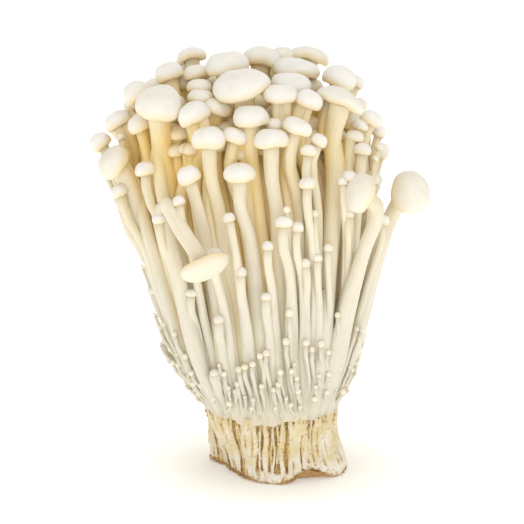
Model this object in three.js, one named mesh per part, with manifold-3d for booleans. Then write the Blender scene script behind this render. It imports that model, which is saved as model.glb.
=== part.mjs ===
// An enoki mushroom bunch, as grown: white caps on cream stems, all rising from one block of mycelium,
// which stands on the thin brown layer of growing sawdust still stuck under it.
// Millimetres, +Z up, the front towards -Y. The origin is the middle of the foot, on the surface.
import * as THREE from "three";
import { mergeVertices } from "three/addons/utils/BufferGeometryUtils.js";
import Module from "manifold-3d";

const wasm = await Module();
wasm.setup();

const { lerp, smoothstep, degToRad, clamp } = THREE.MathUtils;
const TURN = 2 * Math.PI;

// Driving dimensions. The neck is where the mushrooms leave the block: its plane rises to the right by the
// slope. A stem's thickness is the least one and a share of its cap's width.
const NECK_HEIGHT = 23.5;
const NECK_SLOPE = 0.07;
const NECK_HALF_WIDTH = 22.3;
const NECK_HALF_DEPTH = 20;
const NECK_DRIFT = -2.2;
const CRUST_THICKNESS = 1.2;
const CROWN_HEIGHT = 139;
const CROWN_DROP = 27;
const STEM_LEAST = 1.2;
const STEM_SHARE = 0.31;
const STEM_FLARE = 1.2;

// Pieces that touch keep a gap. The joined mushrooms' corners lie on a grid, and finer detail is left out.
const GAP = 0.3;
const GRID = 0.04;
const SIMPLIFIED_BY = 0.1;

// The outline of the foot: direction in degrees, the front at 270, and distance from the middle.
// The hollow near 180 is the deep fold on the left of the block.
const FOOT_OUTLINE = [
  [0, 23.5], [45, 23], [90, 21.5], [125, 23], [148, 26.5], [163, 24.5], [179, 17.5],
  [212, 16.5], [250, 20], [275, 21], [295, 19.2], [335, 23.8], [360, 23.5],
];
const WAIST = 0.6;
const WAIST_ON_RIGHT = 1.6;
const RIBS = 36;
const RIB_DEPTH = 0.9;

// The foot stands flat inside, and its edge lifts in an arch at the front right: direction and half span in
// degrees, height of the arch, and how far up the block's side the arch fades out.
const FLAT_SHARE = 0.78;
const ARCH_DIRECTION = 303;
const ARCH_SPAN = 26;
const ARCH_LIFT = 3;
const ARCH_FADES_AT = 8;

// The spread of the stems at each height: the middle's drift to the side, half the width, half the depth.
const SPREAD = [
  [23, -2.2, 22.3, 20],
  [30, -3, 26.3, 23.5],
  [42, -5, 31.5, 27.5],
  [59, -6, 35.5, 31],
  [77, -7, 39.5, 34],
  [94, -10, 43.5, 37.5],
  [111, -13, 47.5, 41],
  [150, -13, 47.5, 41],
];

// Mushrooms that show from the front, each with the place of its cap: x, y, z, the cap's width, its height
// as a share of the width, its lean to the right and to the front in degrees, and for the two that bend
// away from the rest how far to the right of the cap the stem comes up.
const CROWN = [
  [-36.5, 0, 137, 9.5, 0.8, -20, -5],
  [-29.5, 15, 141, 11, 0.5, -15, -10],
  [-47.5, -3, 131, 9.5, 0.8, -35, 5],
  [-39, -22, 130, 16, 0.65, -5, 25],
  [-26, -12, 134, 8.5, 0.6, 0, 5],
  [-27, 0, 137, 9, 0.65, -5, 0],
  [-17, -5, 140.5, 15, 0.6, -5, 5],
  [-12, -22, 136, 18.5, 0.5, -9, 20],
  [-5.5, 10, 141, 13.5, 0.6, 5, 0],
  [-25.5, -18, 131.5, 8.5, 0.55, 0, 10],
  [-27.5, -26, 127, 11, 0.7, -22, 15],
  [-19.5, -22, 128.5, 9.5, 0.6, 15, 15],
  [-9, -30, 126.5, 12.2, 0.62, 0, 10],
  [-22.5, -34, 120, 10.5, 0.78, -5, 10],
  [-14, -32, 120.5, 8.2, 0.7, 15, 8],
  [-2.5, -35, 120, 11.2, 0.62, 0, 8],
  [-1.5, -28, 123.5, 6, 0.75, 10, 5],
  [1.5, 15, 141.5, 8, 0.7, 0, 0],
  [10.5, 20, 140.5, 14, 0.45, 6, -5],
  [6, 5, 138, 17, 0.42, 8, 8],
  [20.5, 0, 135.5, 11.5, 0.75, 20, 5],
  [27, 10, 132.5, 5, 0.9, 30, 0],
  [20.5, -16, 130.5, 16.5, 0.38, 24, 10],
  [4, -12, 135, 14, 0.5, 6, 10],
  [0.5, -24, 133, 11.2, 0.58, 0, 12],
  [10, -23, 131, 9.5, 0.7, 25, 10],
  [6, -32, 123.5, 9.5, 0.62, 22, 8],
  [13, -32, 119, 5.5, 0.8, 30, 5],
  [9.5, -34, 116, 5.5, 0.75, 10, 5],
  [25, -16, 118, 6.2, 0.65, 12, 5],
  [27.5, -18, 114, 6.2, 0.7, 8, 5],
  [31, -6, 122.5, 8, 0.7, 25, 5],
  [27, -8, 120.5, 6, 0.65, 15, 5],
  [34, 0, 117, 4.5, 1, 25, 0],
  [-54, 0, 121, 9.2, 0.7, -35, 0],
  [-46, -12, 121.5, 8.2, 0.8, -25, 8],
  [-60, 2, 113.5, 7.8, 0.85, -42, 0],
  [-54.5, -12, 109, 13, 0.7, -50, 15],
  [-32.5, -18, 119.5, 7.5, 0.62, 0, 20],
];

const FLANK = [
  [9, -36, 106.5, 5.6, 0.7, 0, 8],
  [22.5, -26, 107.5, 5.2, 0.7, 0, 8],
  [20.5, -28, 106, 3.4, 0.9, -5, 5],
  [25.5, -34, 102.5, 12.5, 0.6, -40, 35, 8],
  [44.5, -10, 98.5, 13.5, 0.75, 50, 10, -9],
  [35, -14, 89.5, 3.8, 0.95, 12, 5],
  [22.5, -31, 95, 4, 0.7, 0, 5],
  [-52.5, -5, 116, 3, 0.9, -20, 0],
  [-43.5, -24, 108.5, 6.8, 0.72, -12, 10],
  [-52.5, -14, 99.5, 5.8, 0.8, -28, 5],
  [-29, -34, 108, 8, 0.85, -25, 10],
  [-12.5, -38, 109.5, 10.2, 0.66, 0, 10],
  [-32, -30, 100.5, 4.2, 0.8, -15, 5],
  [-16, -35, 95.5, 4, 0.85, -18, 5],
  [1.5, -38, 94, 5.9, 0.65, 0, 8],
  [6, -37, 92, 4, 0.9, 5, 8],
  [-20.5, -33, 83.5, 4.8, 0.65, 0, 8],
  [-12, -35, 77, 3.4, 1, 0, 8],
  [-3.5, -37, 86, 4, 0.8, 0, 8],
  [-4, -34, 68.5, 3.7, 0.75, 0, 8],
  [-19.5, -29, 60, 3.4, 0.95, 0, 8],
  [-21, -22, 40.5, 3.4, 0.8, 0, 12],
  [-45.5, -6, 77, 2.8, 1.2, -30, 0],
  [-28.5, -30, 68.5, 4.2, 0.6, 0, 5],
  [12.5, -34, 81, 3.4, 0.85, 0, 8],
  [8.5, -35, 79.5, 3.5, 0.9, -12, 8],
  [16, -32, 84, 3.1, 0.9, 0, 8],
  [23.5, -24, 81.5, 3.5, 0.8, 0, 5],
  [27, -21, 80, 3.8, 0.8, 5, 5],
];

const PINS = [
  [11.5, -34, 96, 2.4, 1.1, 0, 5],
  [-28.5, -22, 51, 2.2, 1.1, -8, 5],
  [3.5, -32, 62.5, 2.8, 1.15, -5, 8],
  [2.5, -30, 52.5, 2.5, 1.2, 0, 8],
  [-4, -29, 48.5, 2.5, 1, 5, 8],
  [-8.5, -28, 44.5, 2.3, 1, 5, 8],
  [-11, -28, 43.5, 2.5, 0.8, 0, 8],
  [-13, -27, 42.5, 2.3, 1, -10, 8],
  [0, -27, 37, 2.1, 1, 0, 10],
  [6, -26, 39, 2, 1, 0, 10],
  [-40.5, -3, 55, 1.8, 1, -60, 0],
  [-36.5, 0, 40, 2.2, 1, -50, 0],
  [25, -20, 71, 2.2, 1, 0, 5],
  [9, -28, 51.5, 2.4, 1, 0, 8],
  [14, -26, 50.5, 2.4, 1.1, 0, 8],
  [19.5, -22, 60, 2.1, 1.1, -5, 5],
  [21, -20, 52, 2.2, 1.1, -5, 5],
  [27.5, -8, 48.5, 1.9, 1, 20, 0],
  [27.5, -5, 41, 1.9, 1, 35, 0],
  [32, -5, 65, 2, 1, 50, 0],
];

// One mushroom on the left has folded over: its stem climbs, bends sharply and hangs to the front.
const FOLDED = {
  width: 16,
  squat: 0.4,
  axis: [0.36, -0.72, -0.59],
  bands: 9,
  route: [
    [-19, -14, 25], [-27, -24, 46], [-33, -30, 76], [-37, -32, 93], [-38, -34, 98.5],
    [-35.5, -37, 98.5], [-31.5, -39.5, 92], [-24.5, -43.5, 82],
  ],
};

// The outlines of the caps from the rim over the shoulder to the top, as shares of half the width and of
// the height. A cap sits this share of its height below its middle on the stem.
const CAP_PROFILES = {
  big: [[0.84, -0.1], [1, 0.2], [0.8, 0.68], [0, 1]],
  small: [[1, 0.22], [0.74, 0.75], [0, 1]],
  pin: [[1, 0.35], [0, 1]],
};
const CAP_SEAT = 0.45;
const CAP_WAVE = 0.05;
const BIG_CAP = 12;
const SMALL_CAP = 3;

// A stem that shows for longer than this swings out along the spread, this share of the way up.
const LONG_RISE = 25;
const SWING_SHARE = 0.35;

// The rest of the crown, the sides and the back follow a rule: a spiral over the crown, then rows down the
// back, with seeded draws for size and height. A place is skipped where a cap already stands.
const SEED = 11;
const CROWN_PLACES = 54;
const BACK_PLACES = 25;
const BACK_PINS = 10;
const GOLDEN_ANGLE = TURN * 0.381966;
const CROWDING = 0.43;
const FRONT_LIMIT = -0.5;

// The core under and behind the stems that show: share of the spread at each height, with flutes that grow
// out above the neck and fade towards the top. Stems start inside it, at these shares of the spread.
const CORE_TOP = 116;
const CORE = [
  [0.98, 22], [1, 26.5], [0.97, 36], [0.94, 50], [0.9, 64], [0.84, 86], [0.76, 103], [0.62, CORE_TOP],
];
const TALL_FOOT = 62;
const FLUTES = 18;
const FLUTE_DEPTH = 0.022;
const FLUTES_FROM = [22, 34];
const FLUTES_FADE_FROM = 50;
const INSIDE_REACH = 0.72;
const SHORT_ROOT = 0.93;
const TALL_ROOT = 0.8;
const SHORT_HEIGHT = 45;
const TALL_HEIGHT = 95;

// A value at a height or direction, read between the rows of a table whose first column rises.
function between(table, at, column) {
  const upper = clamp(table.findIndex((row) => row[0] > at), 1, table.length - 1);
  const above = at >= table.at(-1)[0] ? table.length - 1 : upper;
  const [a, b] = [table[above - 1], table[above]];
  return lerp(a[column], b[column], clamp((at - a[0]) / (b[0] - a[0]), 0, 1));
}

// A point of the bunch from its place across (u) and in depth (v), each -1 to 1, at a height.
function spreadPoint(u, v, height) {
  const x = between(SPREAD, height, 1) + u * between(SPREAD, height, 2);
  return new THREE.Vector3(x, v * between(SPREAD, height, 3), height);
}

function spreadPlace(x, y, height) {
  const u = (x - between(SPREAD, height, 1)) / between(SPREAD, height, 2);
  return [u, y / between(SPREAD, height, 3)];
}

// A solid turned from a profile of [distance from the axis, height], each point then put where place says.
function turned(profile, sides, place) {
  const lathe = new THREE.LatheGeometry(profile.map(([r, h]) => new THREE.Vector2(r, h)), sides);
  const position = lathe.getAttribute("position");
  for (let i = 0; i < position.count; i++) {
    const ring = i % profile.length;
    const turn = ((Math.floor(i / profile.length) % sides) * TURN) / sides;
    const point = place(profile[ring][0], turn, profile[ring][1], ring);
    position.setXYZ(i, point.x, point.y, point.z);
  }
  lathe.deleteAttribute("normal");
  lathe.deleteAttribute("uv");
  return mergeVertices(lathe);
}

function toSolid(geometry) {
  const index = geometry.index.array;
  const kept = [];
  for (let i = 0; i < index.length; i += 3) {
    const [a, b, c] = [index[i], index[i + 1], index[i + 2]];
    if (a !== b && b !== c && a !== c) kept.push(a, b, c);
  }
  const vertProperties = new Float32Array(geometry.getAttribute("position").array);
  return new wasm.Manifold(new wasm.Mesh({ numProp: 3, vertProperties, triVerts: new Uint32Array(kept) }));
}

function toGeometry(solid) {
  const mesh = solid.getMesh();
  const geometry = new THREE.BufferGeometry();
  geometry.setAttribute("position", new THREE.BufferAttribute(mesh.vertProperties.slice(), 3));
  geometry.setIndex(new THREE.BufferAttribute(mesh.triVerts.slice(), 1));
  geometry.computeVertexNormals();
  return geometry;
}

// Reads a row of the tables above. A cap leans outwards with the stems where the row gives no lean.
function mushroom([x, y, z, width, squat, right, front, beside = 0]) {
  const [u, v] = spreadPlace(x + beside, y, z);
  const side = Math.tan(degToRad(right ?? 24 * u));
  const forward = -Math.tan(degToRad(front ?? -24 * v));
  const axis = new THREE.Vector3(side, forward, 1).normalize();
  return { middle: new THREE.Vector3(x, y, z), width, squat, axis, u, v };
}

// The line of a stem. It starts inside the core and follows the spread of the bunch up to the foot of its cap.
// A short stem shows from the neck up, a tall one from higher, and one inside the crown only near its cap.
function stemLine(m) {
  const end = m.middle.clone().addScaledVector(m.axis, -CAP_SEAT * m.width * m.squat);
  const reach = Math.hypot(m.u, m.v);
  const inside = reach < INSIDE_REACH && end.z > CORE_TOP + 3;
  const tall = clamp((end.z - SHORT_HEIGHT) / (TALL_HEIGHT - SHORT_HEIGHT), 0, 1);
  const foot = inside ? CORE_TOP - 4 : lerp(NECK_HEIGHT - 1, TALL_FOOT, tall);
  const rise = end.z - foot;
  const root = Math.min(1, lerp(SHORT_ROOT, TALL_ROOT, tall) / reach);
  const points = [spreadPoint(m.u * root, m.v * root, foot)];
  if (rise > LONG_RISE) {
    const pull = lerp(Math.min(1, 1 / reach), 1, SWING_SHARE);
    points.push(spreadPoint(m.u * pull, m.v * pull, foot + SWING_SHARE * rise));
  }
  if (rise > LONG_RISE / 2) points.push(end.clone().addScaledVector(m.axis, -Math.min(rise / 4, 12)));
  points.push(end);
  return new THREE.CatmullRomCurve3(points);
}

// How finely a mushroom is turned: the sides round it and the bands up its stem.
function fineness(width, rise) {
  const long = rise > LONG_RISE;
  if (width >= BIG_CAP) return [7, long ? 3 : 1];
  if (width >= 6.5) return [6, long ? 2 : 1];
  if (width >= SMALL_CAP) return [5, long ? 2 : 1];
  return [4, 1];
}

// Stem and cap in one profile, the stem bent along its line and the cap set square on its end.
function mushroomSolid(m, line) {
  const [sides, plainBands] = fineness(m.width, line.getLength());
  const bands = m.bands ?? plainBands;
  const stem = (STEM_LEAST + STEM_SHARE * m.width) / 2;
  const [half, tall] = [m.width / 2, m.width * m.squat];
  const heights = Array.from({ length: bands + 1 }, (_, i) => i / bands);
  const stemRings = heights.map((h) => [stem * lerp(STEM_FLARE, 1, h), h]);
  const cap = CAP_PROFILES[m.width >= BIG_CAP ? "big" : m.width >= SMALL_CAP ? "small" : "pin"];
  const profile = [[0, 0], ...stemRings, ...cap.map(([r, h]) => [r * half, h])];
  const frames = line.computeFrenetFrames(bands);
  const end = line.getPointAt(1);
  return toSolid(turned(profile, sides, (r, turn, h, ring) => {
    const band = clamp(ring - 1, 0, bands);
    const onCap = ring > bands + 1;
    const centre = onCap ? end.clone().addScaledVector(m.axis, h * tall) : line.getPointAt(band / bands);
    const wave = onCap ? 1 + CAP_WAVE * Math.cos(2 * turn + m.u * 9) : 1;
    return centre
      .addScaledVector(frames.normals[band], r * wave * Math.cos(turn))
      .addScaledVector(frames.binormals[band], r * wave * Math.sin(turn));
  }));
}

function seededDraws(seed) {
  let state = seed;
  return () => {
    state = (state * 1664525 + 1013904223) % 4294967296;
    return state / 4294967296;
  };
}

function hasRoom(grown, next) {
  return grown.every((m) => m.middle.distanceTo(next.middle) > CROWDING * (m.width + next.width));
}

// Every mushroom of the bunch but the folded one.
function growBunch() {
  const grown = [...CROWN, ...FLANK, ...PINS].map(mushroom);
  const draw = seededDraws(SEED);
  const put = (u, v, height, width, squat) => {
    const { x, y, z } = spreadPoint(u, v, height);
    const next = mushroom([x, y, z, width, squat]);
    if (hasRoom(grown, next)) grown.push(next);
  };
  for (let i = 0; i < CROWN_PLACES; i++) {
    const reach = Math.sqrt((i + 0.5) / CROWN_PLACES);
    const [u, v] = [reach * Math.cos(i * GOLDEN_ANGLE), reach * Math.sin(i * GOLDEN_ANGLE)];
    const height = CROWN_HEIGHT - CROWN_DROP * reach ** 2.4 + 5 * (draw() - 0.5);
    const width = 8.5 + 6.5 * draw();
    const squat = 0.5 + 0.2 * draw();
    if (v > FRONT_LIMIT) put(u, v, height, width, squat);
  }
  for (let i = 0; i < BACK_PLACES; i++) {
    const direction = degToRad(-12 + 204 * ((i * 0.618034) % 1));
    const height = lerp(112, 52, i / BACK_PLACES) + 6 * (draw() - 0.5);
    const width = lerp(3, 8, (i * 0.414214) % 1) * lerp(1, 0.62, i / BACK_PLACES);
    put(Math.cos(direction), Math.sin(direction), height, width, 0.62 + 0.3 * draw());
  }
  for (let i = 0; i < BACK_PINS; i++) {
    const direction = degToRad(-15 + 210 * ((i * 0.618034) % 1));
    put(1.02 * Math.cos(direction), 1.02 * Math.sin(direction), 33 + 22 * draw(), 1.9 + 0.8 * draw(), 1.05);
  }
  return grown;
}

// The packed stems in the middle of the bunch, out of which the outer ones stand. Low down, where the feet
// of the stems have grown together, its side is fluted.
function coreSolid() {
  const profile = [[0, CORE[0][1]], ...CORE, [0, CORE_TOP]];
  return toSolid(turned(profile, 2 * FLUTES, (r, turn, h, ring) => {
    const flute = Math.round((turn * FLUTES) / Math.PI) % 2 ? 1 : -1;
    const strength = smoothstep(h, ...FLUTES_FROM) * (1 - smoothstep(h, FLUTES_FADE_FROM, CORE_TOP));
    const onSide = ring > 0 && ring <= CORE.length;
    const share = onSide ? r + flute * FLUTE_DEPTH * strength : r;
    return spreadPoint(share * Math.cos(turn), share * Math.sin(turn), h);
  }));
}

function foldedMushroom() {
  const line = new THREE.CatmullRomCurve3(FOLDED.route.map((p) => new THREE.Vector3(...p)));
  const axis = new THREE.Vector3(...FOLDED.axis).normalize();
  return mushroomSolid({ ...FOLDED, axis, u: 0 }, line);
}

// Keeps the outer body, without the tiny closed hollows left between stems, and puts its corners on a fine
// grid, so that no edge is too short.
function cleaned(solid) {
  const body = solid.decompose().reduce((a, b) => (b.volume() > a.volume() ? b : a));
  const onGrid = body.warp((point) => {
    for (let k = 0; k < 3; k++) point[k] = Math.round(point[k] / GRID) * GRID;
  });
  return onGrid.simplify(SIMPLIFIED_BY);
}

function mushroomsSolid() {
  const solids = growBunch().map((m) => mushroomSolid(m, stemLine(m)));
  const joined = wasm.Manifold.union([coreSolid(), foldedMushroom(), ...solids]);
  const up = new THREE.Vector3(-NECK_SLOPE, 0, 1);
  const offset = (NECK_HEIGHT + GAP) / up.length();
  return cleaned(joined.trimByPlane(up.clone().normalize().toArray(), offset));
}

// Distance of the block's side from the middle: the foot's outline below, an oval neck above that sits a
// little to the left, a waist on the right, and ribs where the feet of the stems run up its side.
function blockRadius(turn, height) {
  const share = smoothstep(height, 0, NECK_HEIGHT);
  const foot = between(FOOT_OUTLINE, THREE.MathUtils.radToDeg(turn), 1);
  const oval = 1 / Math.hypot(Math.cos(turn) / NECK_HALF_WIDTH, Math.sin(turn) / NECK_HALF_DEPTH);
  const neck = oval + NECK_DRIFT * Math.cos(turn);
  const swell = Math.sin(Math.PI * share);
  const ribs = RIB_DEPTH * (Math.abs(Math.cos((RIBS * turn) / 2)) - 0.6) * swell;
  return lerp(foot, neck, share) - (WAIST + WAIST_ON_RIGHT * Math.max(0, Math.cos(turn))) * swell + ribs;
}

// The foot's edge lifts off the surface in an arch at the front right.
function edgeLift(turn) {
  const off = Math.abs(THREE.MathUtils.radToDeg(turn) - ARCH_DIRECTION) / ARCH_SPAN;
  return off < 1 ? ARCH_LIFT * (1 + Math.cos(Math.PI * off)) * 0.5 : 0;
}

function aroundBlock(share, turn, height, radius, lift) {
  const r = share * radius;
  return new THREE.Vector3(r * Math.cos(turn), r * Math.sin(turn), height + lift);
}

function crustSolid() {
  const t = CRUST_THICKNESS;
  const profile = [[0, 0], [FLAT_SHARE, 0], [1, 0], [1.02, t / 2], [1, t], [FLAT_SHARE, t], [0, t]];
  return toSolid(turned(profile, 2 * RIBS, (share, turn, h) => {
    const lift = share > FLAT_SHARE ? edgeLift(turn) : 0;
    return aroundBlock(share, turn, h, blockRadius(turn, 0), lift);
  }));
}

function baseSolid() {
  const bottom = CRUST_THICKNESS + GAP;
  const sides = [bottom, 4, 8, 12.5, 17, 20.5, NECK_HEIGHT - 1].map((h) => [1, h]);
  const profile = [[0, bottom], [FLAT_SHARE, bottom], ...sides, [0.97, NECK_HEIGHT], [0, NECK_HEIGHT]];
  return toSolid(turned(profile, 2 * RIBS, (share, turn, h) => {
    const fade = 1 - smoothstep(h, bottom, ARCH_FADES_AT);
    const lift = share > FLAT_SHARE ? edgeLift(turn) * fade : 0;
    const point = aroundBlock(share, turn, h, blockRadius(turn, h), lift);
    point.z += NECK_SLOPE * point.x * smoothstep(h, 4, NECK_HEIGHT - 1);
    return point;
  }));
}

function piece(name, solid, color, roughness) {
  const material = new THREE.MeshStandardMaterial({ color, roughness, metalness: 0 });
  const mesh = new THREE.Mesh(toGeometry(solid), material);
  mesh.name = name;
  return mesh;
}

const bunch = new THREE.Group();
bunch.add(
  piece("substrate_crust", crustSolid(), 0x9c7446, 0.95),
  piece("mycelium_base", baseSolid(), 0xe6d6ad, 0.85),
  piece("mushrooms", mushroomsSolid(), 0xf6efdc, 0.5),
);

export default bunch;
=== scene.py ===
"""An enoki mushroom bunch as grown, standing on its own foot: crumbly sawdust crust, ribbed mycelium
block, and some hundreds of white caps on cream stems. Sizes are in millimetres, the room's in metres."""

import math

import bpy
import numpy as np
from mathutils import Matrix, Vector


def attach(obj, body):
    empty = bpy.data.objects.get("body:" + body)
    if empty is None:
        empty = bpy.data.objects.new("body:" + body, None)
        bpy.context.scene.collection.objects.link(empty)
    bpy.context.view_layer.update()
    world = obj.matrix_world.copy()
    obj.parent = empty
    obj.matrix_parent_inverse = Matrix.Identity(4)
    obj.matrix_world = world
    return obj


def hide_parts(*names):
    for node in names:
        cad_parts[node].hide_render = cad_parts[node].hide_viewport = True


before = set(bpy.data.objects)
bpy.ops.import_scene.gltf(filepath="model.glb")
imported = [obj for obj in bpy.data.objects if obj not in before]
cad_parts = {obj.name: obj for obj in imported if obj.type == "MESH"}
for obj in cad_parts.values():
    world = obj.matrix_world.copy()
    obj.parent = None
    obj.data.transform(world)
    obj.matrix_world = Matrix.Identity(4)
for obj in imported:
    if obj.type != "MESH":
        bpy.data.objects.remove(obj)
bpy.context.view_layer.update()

# Room
# A white table in a white room: only a faint warm shade at the foot shows where the bunch stands. Light
# is broad and soft, from above, in front and behind, and the shadows of the picture are lifted a little.
MM = 0.001
TURN = 2 * math.pi
EYE = Vector((-5.4, -700, 219)) * MM
LOOKED_AT = Vector((-5.4, 0, 72.5)) * MM
LENS = 144.6
TABLE_SIZE = 12
TABLE_WHITE = "#E5E3DB"
TABLE_GLOW = "#FFFFFF"
GLOW_AT_FOOT = 0.29
GLOW_AWAY = 0.74
GLOW_FROM = 0.024
GLOW_FULL = 0.066
WORLD_WHITE = "#FFF9EE"
WORLD_STRENGTH = 0.64
SHADOW_LIFT = 1.16
LIGHT_SIZE = 0.9
LIGHTS = [
    ("key", (0.15, -0.45, 1.15), 2.7), ("fill", (0.15, -1.15, 0.4), 1.3), ("back", (0.1, 0.9, 0.7), 1.2),
]


def linear(colour):
    """The linear colour that a socket takes, from an sRGB hex value."""
    shares = [int(colour[i : i + 2], 16) / 255 for i in (1, 3, 5)]
    return [*(c / 12.92 if c <= 0.04045 else ((c + 0.055) / 1.055) ** 2.4 for c in shares), 1]


def set_inputs(node, inputs):
    """Gives each input a value, a colour by its sRGB hex value, or a link from another node's output."""
    for name, value in dict(inputs).items():
        if isinstance(value, bpy.types.NodeSocket):
            node.id_data.links.new(value, node.inputs[name])
        else:
            node.inputs[name].default_value = linear(value) if isinstance(value, str) else value


def add_node(tree, kind, output, inputs=(), **settings):
    """Adds a node with its settings and inputs, and gives the output that is asked for."""
    node = tree.nodes.new("ShaderNode" + kind)
    for name, value in settings.items():
        setattr(node, name, value)
    set_inputs(node, inputs)
    return node.outputs[output]


def new_material(name):
    """A material with its node tree and its surface shader."""
    material = bpy.data.materials.new(name)
    material.use_nodes = True
    return material, material.node_tree, material.node_tree.nodes["Principled BSDF"]


world = bpy.data.worlds.new("white room")
world.use_nodes = True
set_inputs(world.node_tree.nodes["Background"], {"Color": WORLD_WHITE, "Strength": WORLD_STRENGTH})
bpy.context.scene.world = world
view = bpy.context.scene.view_settings
view.view_transform = "Standard"
view.gamma = SHADOW_LIFT

for name, place, power in LIGHTS:
    bpy.ops.object.light_add(type="AREA", location=place)
    light = bpy.context.object
    light.name = name + "_light"
    light.data.size = LIGHT_SIZE
    light.data.energy = power
    light.rotation_mode = "QUATERNION"
    light.rotation_quaternion = (LOOKED_AT - light.location).to_track_quat("-Z", "Y")

bpy.ops.mesh.primitive_plane_add(size=TABLE_SIZE)
table = bpy.context.object
table.name = "white_table"
table_white, tree, shader = new_material("matt white table")
# The table glows, as painted light, so that it shows white. Near the foot it glows less, a painted shade
# round the foot.
place = add_node(tree, "TexCoord", "Object")
away = add_node(tree, "VectorMath", "Value", {0: place}, operation="LENGTH")
glow = add_node(
    tree, "MapRange", "Result",
    {"Value": away, "From Min": GLOW_FROM, "From Max": GLOW_FULL,
     "To Min": GLOW_AT_FOOT, "To Max": GLOW_AWAY},
)
set_inputs(shader, {
    "Base Color": TABLE_WHITE, "Roughness": 0.9, "Emission Color": TABLE_GLOW, "Emission Strength": glow,
})
table.data.materials.append(table_white)

bpy.ops.object.camera_add(location=EYE)
camera = bpy.context.object
camera.data.lens = LENS
camera.rotation_mode = "QUATERNION"
camera.rotation_quaternion = (LOOKED_AT - EYE).to_track_quat("-Z", "Y")
bpy.context.scene.camera = camera

# Mycelium block
# The block is white and ochre mycelium, with a roll of felt round its foot. The feet of the stems run
# down its side as ribs, some of them round strands that stand free of the grooves. Its side comes from
# the same sizes as the solid, with the strands sunk in and all of it fused.
NECK_HEIGHT = 23.5
NECK_HALF_WIDTH = 22.3
NECK_HALF_DEPTH = 20
NECK_DRIFT = -2.2
CRUST_THICKNESS = 1.2
GAP = 0.3
# Above the neck the bunch spreads: height, middle, half width and half depth.
SPREAD = [
    (23, -2.2, 22.3, 20), (30, -3, 26.3, 23.5), (42, -5, 31.5, 27.5), (59, -6, 35.5, 31),
    (77, -7, 39.5, 34), (94, -10, 43.5, 37.5), (111, -13, 47.5, 41), (150, -13, 47.5, 41),
]
FOOT_OUTLINE = [
    (0, 23.5), (45, 23), (90, 21.5), (125, 23), (148, 26.5), (163, 24.5), (179, 17.5),
    (212, 16.5), (250, 20), (275, 21), (295, 19.2), (335, 23.8), (360, 23.5),
]
WAIST = 0.6
WAIST_ON_RIGHT = 1.6
ARCH_DIRECTION = 303
ARCH_SPAN = 26
ARCH_LIFT = 3
ARCH_FADES_AT = 8
FLAT_SHARE = 0.78
RIM_HEIGHT = 26.2
RIM_FALL_IN_FRONT = 4.4
RIM_SLOPE = 0.95
BLOCK_SIDES = 180
BLOCK_RINGS = 26
BODY_SHARE = 0.958
STRANDS = 108
STRAND_SIDES = 6
STRAND_RINGS = 12
STRAND_LEAST = 0.42
STRAND_MORE = 0.8
STRAND_SUNK = 0.3
FUSED_AT = 0.34


def seeded_draws(seed):
    """Draws from 0 to 1 that are the same on every run."""
    state = seed
    while True:
        state = (state * 1664525 + 1013904223) % 4294967296
        yield state / 4294967296


def smooth_step(value, low, high):
    share = np.clip((value - low) / (high - low), 0, 1)
    return share * share * (3 - 2 * share)


def block_radius(turn, height):
    """Distance of the block's side from the middle: foot below, oval neck above, and a waist."""
    turn = np.mod(turn, TURN)
    share = smooth_step(height, 0, NECK_HEIGHT)
    foot = np.interp(np.degrees(turn), *zip(*FOOT_OUTLINE))
    oval = 1 / np.hypot(np.cos(turn) / NECK_HALF_WIDTH, np.sin(turn) / NECK_HALF_DEPTH)
    neck = oval + NECK_DRIFT * np.cos(turn)
    swell = np.sin(np.pi * share)
    return foot + (neck - foot) * share - (WAIST + WAIST_ON_RIGHT * np.maximum(0, np.cos(turn))) * swell


def edge_lift(turn):
    """How far the foot's edge lifts off the table, in an arch at the front right."""
    off = np.abs(np.degrees(np.mod(turn, TURN)) - ARCH_DIRECTION) / ARCH_SPAN
    return np.where(off < 1, ARCH_LIFT * (1 + np.cos(np.pi * np.minimum(off, 1))) / 2, 0)


def spread_at(height):
    """Middle, half width and half depth of the bunch at a height."""
    heights, *columns = zip(*SPREAD)
    return [np.interp(height, heights, column) for column in columns]


def spread_point(u, v, height):
    """A point of the bunch from its place across (u) and in depth (v), each -1 to 1, at a height."""
    middle, half_width, half_depth = spread_at(height)
    return np.array([middle + u * half_width, v * half_depth, height])


def rim_height(turn):
    """Height of the neck's rim, where the stems begin: lower in front, a little higher on the right."""
    return RIM_HEIGHT + RIM_SLOPE * np.cos(turn) - RIM_FALL_IN_FRONT * np.maximum(0, -np.sin(turn))


def height_on_block(turn, height, share_of_radius=1):
    """A height on the block, with the arch under its edge and the slope of its rim."""
    fade = 1 - smooth_step(height, CRUST_THICKNESS, ARCH_FADES_AT)
    lift = edge_lift(turn) * fade * smooth_step(share_of_radius, FLAT_SHARE, 1)
    rise = (rim_height(turn) - NECK_HEIGHT) * smooth_step(height, 4, NECK_HEIGHT - 1)
    return height + rise + lift


def turned_shape(sides, rings):
    """A closed shape turned about Z: a disc extruded ring by ring to each (radius, height)."""
    radius, height = rings[0]
    bpy.ops.mesh.primitive_circle_add(
        vertices=sides, radius=radius, fill_type="NGON", location=(0, 0, height)
    )
    shape = bpy.context.object
    bpy.ops.object.transform_apply(location=True)
    bpy.ops.object.mode_set(mode="EDIT")
    bpy.ops.mesh.select_all(action="SELECT")
    for next_radius, next_height in rings[1:]:
        bpy.ops.mesh.extrude_region_move(
            TRANSFORM_OT_translate={"value": (0, 0, next_height - height)}
        )
        scale = next_radius / radius
        bpy.ops.transform.resize(value=(scale, scale, 1), center_override=(0, 0, next_height))
        radius, height = next_radius, next_height
    bpy.ops.mesh.select_all(action="SELECT")
    bpy.ops.mesh.normals_make_consistent(inside=False)
    bpy.ops.object.mode_set(mode="OBJECT")
    bpy.ops.object.shade_smooth()
    return shape


def points_of(shape):
    points = np.zeros(3 * len(shape.data.vertices))
    shape.data.vertices.foreach_get("co", points)
    return points.reshape(-1, 3)


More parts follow.
